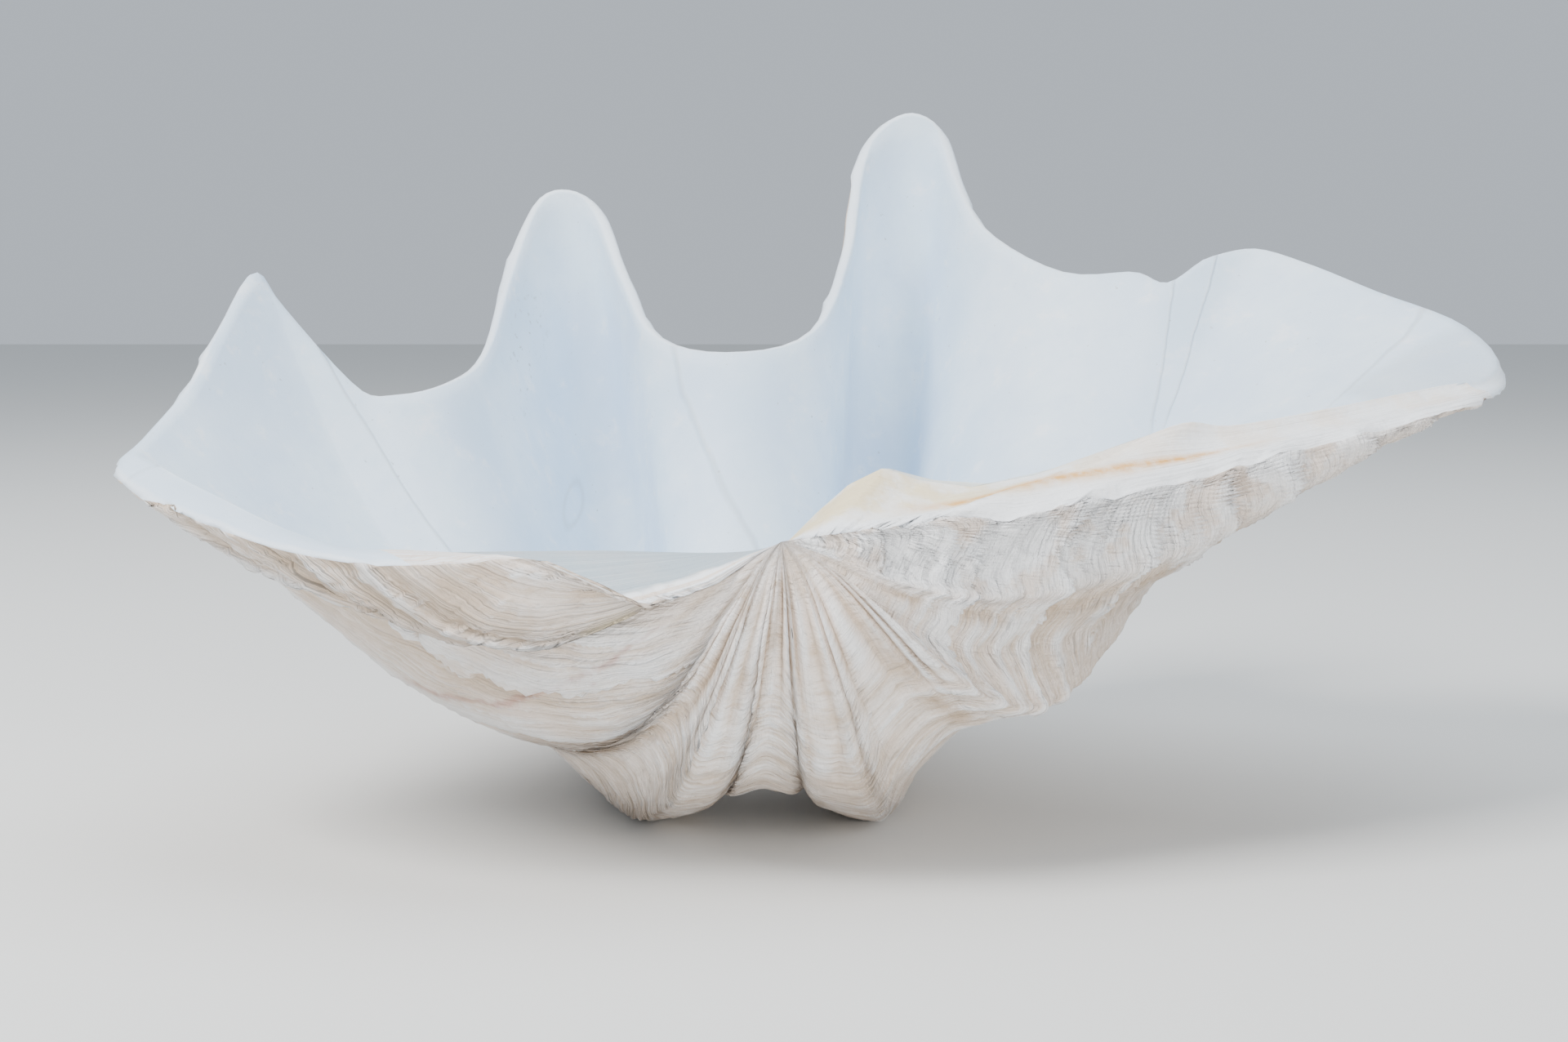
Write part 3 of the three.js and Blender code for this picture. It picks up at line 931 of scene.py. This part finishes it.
def hinge_material(colours, grain):
    """Hinge plate: mottled cream tooth, orange streak along the ligament's groove, chalky outer lip, and
    the shelf and flaky rim on the notch's side, the shelf's blue-grey being painted shade."""
    material, t, surface = new_material("Hinge plate")
    g = t.node("ShaderNodeGroup", node_tree=grain).outputs
    place = object_place(t)
    row, wall = edge_row(t), field(t, "wall")
    cloud = t.noise(place, 38.0, 4.0, 0.6)
    fine = t.noise(place, 150.0, 4.0, 0.65)
    across = t.node("ShaderNodeSeparateXYZ", (place,)).outputs[0]
    away = t.minus(across, BEAK.x)

    plate = Paint(t, colours.bright)
    plate.lay(colours.chalk, t.step(cloud, 0.42, 0.62))
    cream = t.times(t.step(cloud, 0.38, 0.58, 0.25, 1.0), t.step(away, 0.16, 0.03, 0.15, 1.0))
    plate.lay(colours.cream, t.times(cream, t.step(wall, 0.12, 0.4)))
    streak = t.near(uneven_about(t, wall, cloud, 0.12), 0.44, 0.22)
    streak = t.times(streak, t.step(away, 0.035, 0.07), t.step(away, 0.2, 0.15))
    plate.lay(colours.orange, t.times(streak, t.step(fine, 0.3, 0.6, 0.45, 1.0)))
    plate.lay(colours.bright, t.times(t.step(wall, 0.3, 0.12), t.step(fine, 0.3, 0.5, 0.5, 1.0)))

    lines = t.noise(t.combined(t.times(wall, 18.0), t.times(away, 9.0), 0.0), 1.0, 3.0)
    crust = Paint(t, colours.chalk_warm)
    crust.lay(colours.bright, t.step(lines, 0.42, 0.62))
    crust.lay(colours.stain, t.step(fine, 0.55, 0.72, 0.0, 0.6))
    # painted shade: the shelf beside the notch is painted blue-grey, as it stands steep and faces away
    # from the light from above
    shelf = Paint(t, colours.shelf)
    shelf.lay(colours.grey, t.step(cloud, 0.4, 0.65))
    shelf.lay(colours.bright, t.step(lines, 0.5, 0.7, 0.0, 0.25))
    flaky = t.step(uneven_about(t, wall, cloud, 0.4), 0.22, 0.12)
    shelf.lay(crust.colour, t.math("MAXIMUM", flaky, t.step(row, 0.6, 1.6)))
    shelf.lay(plate.colour, t.step(row, 22.0, 24.0))

    height = t.plus(t.times(g["Height"], 0.0016), t.times(lines, 0.0016), t.times(cloud, 0.003))
    finish_surface(t, surface, shelf.colour, t.step(g["Tone"], 0.3, 0.7, 0.5, 0.8), 0.4, height, 0.8)
    return material


# ---------------------------------------------------------------- settings

def colour_setting(name, about, default):
    return bpy.props.FloatVectorProperty(name=name, description=about, subtype="COLOR", size=3,
                                         min=0.0, max=1.0, default=default)


class ClamShellSizes(bpy.types.PropertyGroup):
    coil: bpy.props.FloatProperty(
        name="Coil", description="Turn of the outer wall for each e-fold of growth",
        subtype="ANGLE", default=math.radians(73))
    coil_start: bpy.props.FloatProperty(
        name="Coil start", description="Growth before the beak, which keeps its coil open",
        subtype="FACTOR", default=0.1)
    inner_turn: bpy.props.FloatProperty(
        name="Inner turn", description="Turn of the inner wall from the hinge plate to the edge",
        subtype="ANGLE", default=math.radians(66))
    inner_sag: bpy.props.FloatProperty(
        name="Inner sag", description="Share of the outer wall's sag that the inner wall takes",
        subtype="FACTOR", default=0.92)
    inner_spread: bpy.props.FloatProperty(
        name="Inner spread", description="Share of the outer wall's spread that the inner wall takes",
        subtype="FACTOR", default=0.9)
    edge_thickness: bpy.props.FloatProperty(
        name="Edge thickness", description="Thickness of the wall at the edge",
        subtype="DISTANCE", unit="LENGTH", default=0.0055)
    growth_line_height: bpy.props.FloatProperty(
        name="Growth line height", description="Height of the growth lines on the outside",
        subtype="DISTANCE", unit="LENGTH", default=0.0012)
    growth_lines: bpy.props.FloatProperty(
        name="Growth lines", description="Raised growth lines from the beak to the edge", default=48.0)
    riblet_height: bpy.props.FloatProperty(
        name="Riblet height", description="Height of the fine ribs that fan from the beak",
        subtype="DISTANCE", unit="LENGTH", default=0.0032)
    riblets: bpy.props.FloatProperty(
        name="Riblets", description="Fine ribs round the whole outside", default=33.0)
    flake_height: bpy.props.FloatProperty(
        name="Flake height", description="Depth of the flaking along the rims",
        subtype="DISTANCE", unit="LENGTH", default=0.003)
    grit_height: bpy.props.FloatProperty(
        name="Grit height", description="Height of the fine unevenness",
        subtype="DISTANCE", unit="LENGTH", default=0.0007)
    seed: bpy.props.FloatProperty(
        name="Seed", description="Fixed start of the uneven relief", default=3.0)


class ClamShellColours(bpy.types.PropertyGroup):
    chalk: colour_setting("Chalk", "Outside's main colour", (0.94, 0.89, 0.855))
    chalk_warm: colour_setting("Warm chalk", "Outside's pinkish patches", (0.85, 0.74, 0.655))
    # bright chalk is also laid as a painted highlight on the outside's crests and along the inside's rim
    bright: colour_setting("Bright chalk", "Fresh white of ribs, flakes and the rim", (0.94, 0.96, 0.98))
    stain: colour_setting("Stain", "Tan stain in the growth lines", (0.60, 0.455, 0.32))
    # the furrows' brown also paints the shadow line below the hinge plate's rim
    furrow_and_shadow: colour_setting("Furrow", "Brown of the deep furrows", (0.50, 0.36, 0.24))
    rust: colour_setting("Rust", "Reddish marks", (0.50, 0.24, 0.19))
    porcelain: colour_setting("Porcelain", "Inside's main colour", (0.75, 0.87, 0.97))
    porcelain_deep: colour_setting("Deep porcelain", "Inside's bluer clouds", (0.62, 0.76, 0.91))
    grey: colour_setting("Grey", "Ridge lines, specks and shadows of the inside", (0.45, 0.49, 0.52))
    # the shelf's blue-grey is painted shade
    shelf: colour_setting("Shelf", "Blue-grey shelf beside the beak", (0.40, 0.48, 0.53))
    cream: colour_setting("Cream", "Hinge plate's colour", (0.86, 0.73, 0.47))
    orange: colour_setting("Orange", "Ligament groove's streak", (0.80, 0.42, 0.11))


class StudioSettings(bpy.types.PropertyGroup):
    camera_back: bpy.props.FloatProperty(
        name="Camera back", description="Camera's distance in front of the beak",
        subtype="DISTANCE", unit="LENGTH", default=0.88)
    camera_up: bpy.props.FloatProperty(
        name="Camera up", description="Camera's height above the beak",
        subtype="DISTANCE", unit="LENGTH", default=0.100)
    camera_aside: bpy.props.FloatProperty(
        name="Camera aside", description="How far the camera stands to the right of the beak",
        subtype="DISTANCE", unit="LENGTH", default=0.0009)
    camera_pitch: bpy.props.FloatProperty(
        name="Camera pitch", description="How far the camera looks down",
        subtype="ANGLE", default=math.radians(6))
    lens: bpy.props.FloatProperty(
        name="Lens", description="Focal length in millimetres on a 36 mm sensor", default=56.25)
    floor_reach: bpy.props.FloatProperty(
        name="Floor reach", description="Floor's reach to each side of the shell",
        subtype="DISTANCE", unit="LENGTH", default=6.0)
    floor: colour_setting("Floor", "Floor's colour", (0.72, 0.72, 0.70))


# ---------------------------------------------------------------- operators

def set_input(modifier, name, value):
    for item in modifier.node_group.interface.items_tree:
        if item.item_type == "SOCKET" and item.in_out == "INPUT" and item.name == name:
            modifier[item.identifier] = value
            return
    raise RuntimeError("the growth tree has no input named " + name)


class OBJECT_OT_clam_shell(bpy.types.Operator):
    """Grow the shell and give it its three finishes"""
    bl_idname = "object.clam_shell_grow"
    bl_label = "Grow the shell"

    def execute(self, context):
        sizes = context.scene.clam_shell_sizes
        colours = context.scene.clam_shell_colours
        grain, bands = shell_grain_group(), growth_band_group()
        materials = [outside_material(colours, grain, bands), hinge_material(colours, grain),
                     inside_material(colours, grain)]
        sheet = bpy.data.objects.new("clam_shell_growth", sheet_mesh(sizes))
        context.scene.collection.objects.link(sheet)
        growth = sheet.modifiers.new("Growth", "NODES")
        growth.node_group = growth_tree(materials)
        for name in GROWTH_NUMBERS:
            set_input(growth, name, getattr(sizes, name.lower().replace(" ", "_")))
        set_input(growth, "Beak", tuple(BEAK))
        set_input(growth, "Plate Start", tuple(c * MM for c in LEFT_RAIL[0][1:]))
        context.view_layer.update()
        shown = sheet.evaluated_get(context.evaluated_depsgraph_get())
        mesh = bpy.data.meshes.new_from_object(shown)
        if not mesh.polygons:
            raise RuntimeError("the shell has no faces")
        shell = bpy.data.objects.new("clam_shell_visible", mesh)
        context.scene.collection.objects.link(shell)
        bpy.data.objects.remove(sheet)
        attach(shell, "root")
        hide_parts("clam_shell")
        return {"FINISHED"}


class OBJECT_OT_clam_studio(bpy.types.Operator):
    """Add the pale floor, the soft lights and the camera"""
    bl_idname = "object.clam_studio"
    bl_label = "Set up the studio"

    def execute(self, context):
        studio = context.scene.clam_studio
        scene = context.scene
        floor_mesh = bpy.data.meshes.new("studio_floor")
        reach = studio.floor_reach
        corners = [(-reach, -reach, 0), (reach, -reach, 0), (reach, reach, 0), (-reach, reach, 0)]
        floor_mesh.from_pydata(corners, [], [(0, 1, 2, 3)])
        floor = bpy.data.objects.new("studio_floor", floor_mesh)
        material, _, surface = new_material("Studio floor")
        surface["Base Color"].default_value = (*studio.floor, 1)
        surface["Roughness"].default_value = 0.9
        floor_mesh.materials.append(material)
        scene.collection.objects.link(floor)

        camera_data = bpy.data.cameras.new("studio_camera")
        camera_data.sensor_width = 36.0
        camera_data.lens = studio.lens
        camera = bpy.data.objects.new("studio_camera", camera_data)
        camera.location = (BEAK.x + studio.camera_aside, BEAK.y - studio.camera_back,
                           BEAK.z + studio.camera_up)
        camera.rotation_euler = (math.radians(90) - studio.camera_pitch, 0, 0)
        scene.collection.objects.link(camera)
        scene.camera = camera

        for name, place, aim, side, power, tint in (
                ("key_light", (-1.2, -0.8, 1.7), (0, 0, 0.1), 0.9, 62, (1.0, 0.98, 0.96)),
                ("fill_light", (0.7, -2.0, 0.55), (0, 0, 0.12), 1.4, 36, (1.0, 0.985, 0.965)),
                ("top_light", (0.2, 0.5, 2.2), (0, 0, 0.1), 2.0, 40, (0.88, 0.94, 1.0))):
            light_data = bpy.data.lights.new(name, "AREA")
            light_data.size = side
            light_data.energy = power
            light_data.color = tint
            light = bpy.data.objects.new(name, light_data)
            light.location = place
            light.rotation_euler = (Vector(aim) - Vector(place)).to_track_quat("-Z", "Y").to_euler()
            scene.collection.objects.link(light)
        world = bpy.data.worlds.new("studio_world")
        world.use_nodes = True
        sky = world.node_tree.nodes["Background"].inputs
        sky["Color"].default_value = (0.82, 0.9, 1.0, 1)
        sky["Strength"].default_value = 0.68
        scene.world = world
        return {"FINISHED"}


class VIEW3D_PT_clam_shell(bpy.types.Panel):
    """Settings and buttons of the shell and its studio"""
    bl_label = "Clam shell"
    bl_idname = "VIEW3D_PT_clam_shell"
    bl_space_type = "VIEW_3D"
    bl_region_type = "UI"
    bl_category = "Clam shell"

    def draw(self, context):
        layout = self.layout
        for owner in (context.scene.clam_shell_sizes, context.scene.clam_shell_colours,
                      context.scene.clam_studio):
            for name in owner.__annotations__:
                layout.prop(owner, name)
        layout.operator(OBJECT_OT_clam_shell.bl_idname)
        layout.operator(OBJECT_OT_clam_studio.bl_idname)


CLASSES = (ClamShellSizes, ClamShellColours, StudioSettings, OBJECT_OT_clam_shell,
           OBJECT_OT_clam_studio, VIEW3D_PT_clam_shell)


def register():
    for item in CLASSES:
        bpy.utils.register_class(item)
    bpy.types.Scene.clam_shell_sizes = bpy.props.PointerProperty(type=ClamShellSizes)
    bpy.types.Scene.clam_shell_colours = bpy.props.PointerProperty(type=ClamShellColours)
    bpy.types.Scene.clam_studio = bpy.props.PointerProperty(type=StudioSettings)


def unregister():
    del bpy.types.Scene.clam_studio
    del bpy.types.Scene.clam_shell_colours
    del bpy.types.Scene.clam_shell_sizes
    for item in reversed(CLASSES):
        bpy.utils.unregister_class(item)


def main():
    register()
    bpy.ops.object.clam_shell_grow()
    bpy.ops.object.clam_studio()


if __name__ == "__main__":
    main()
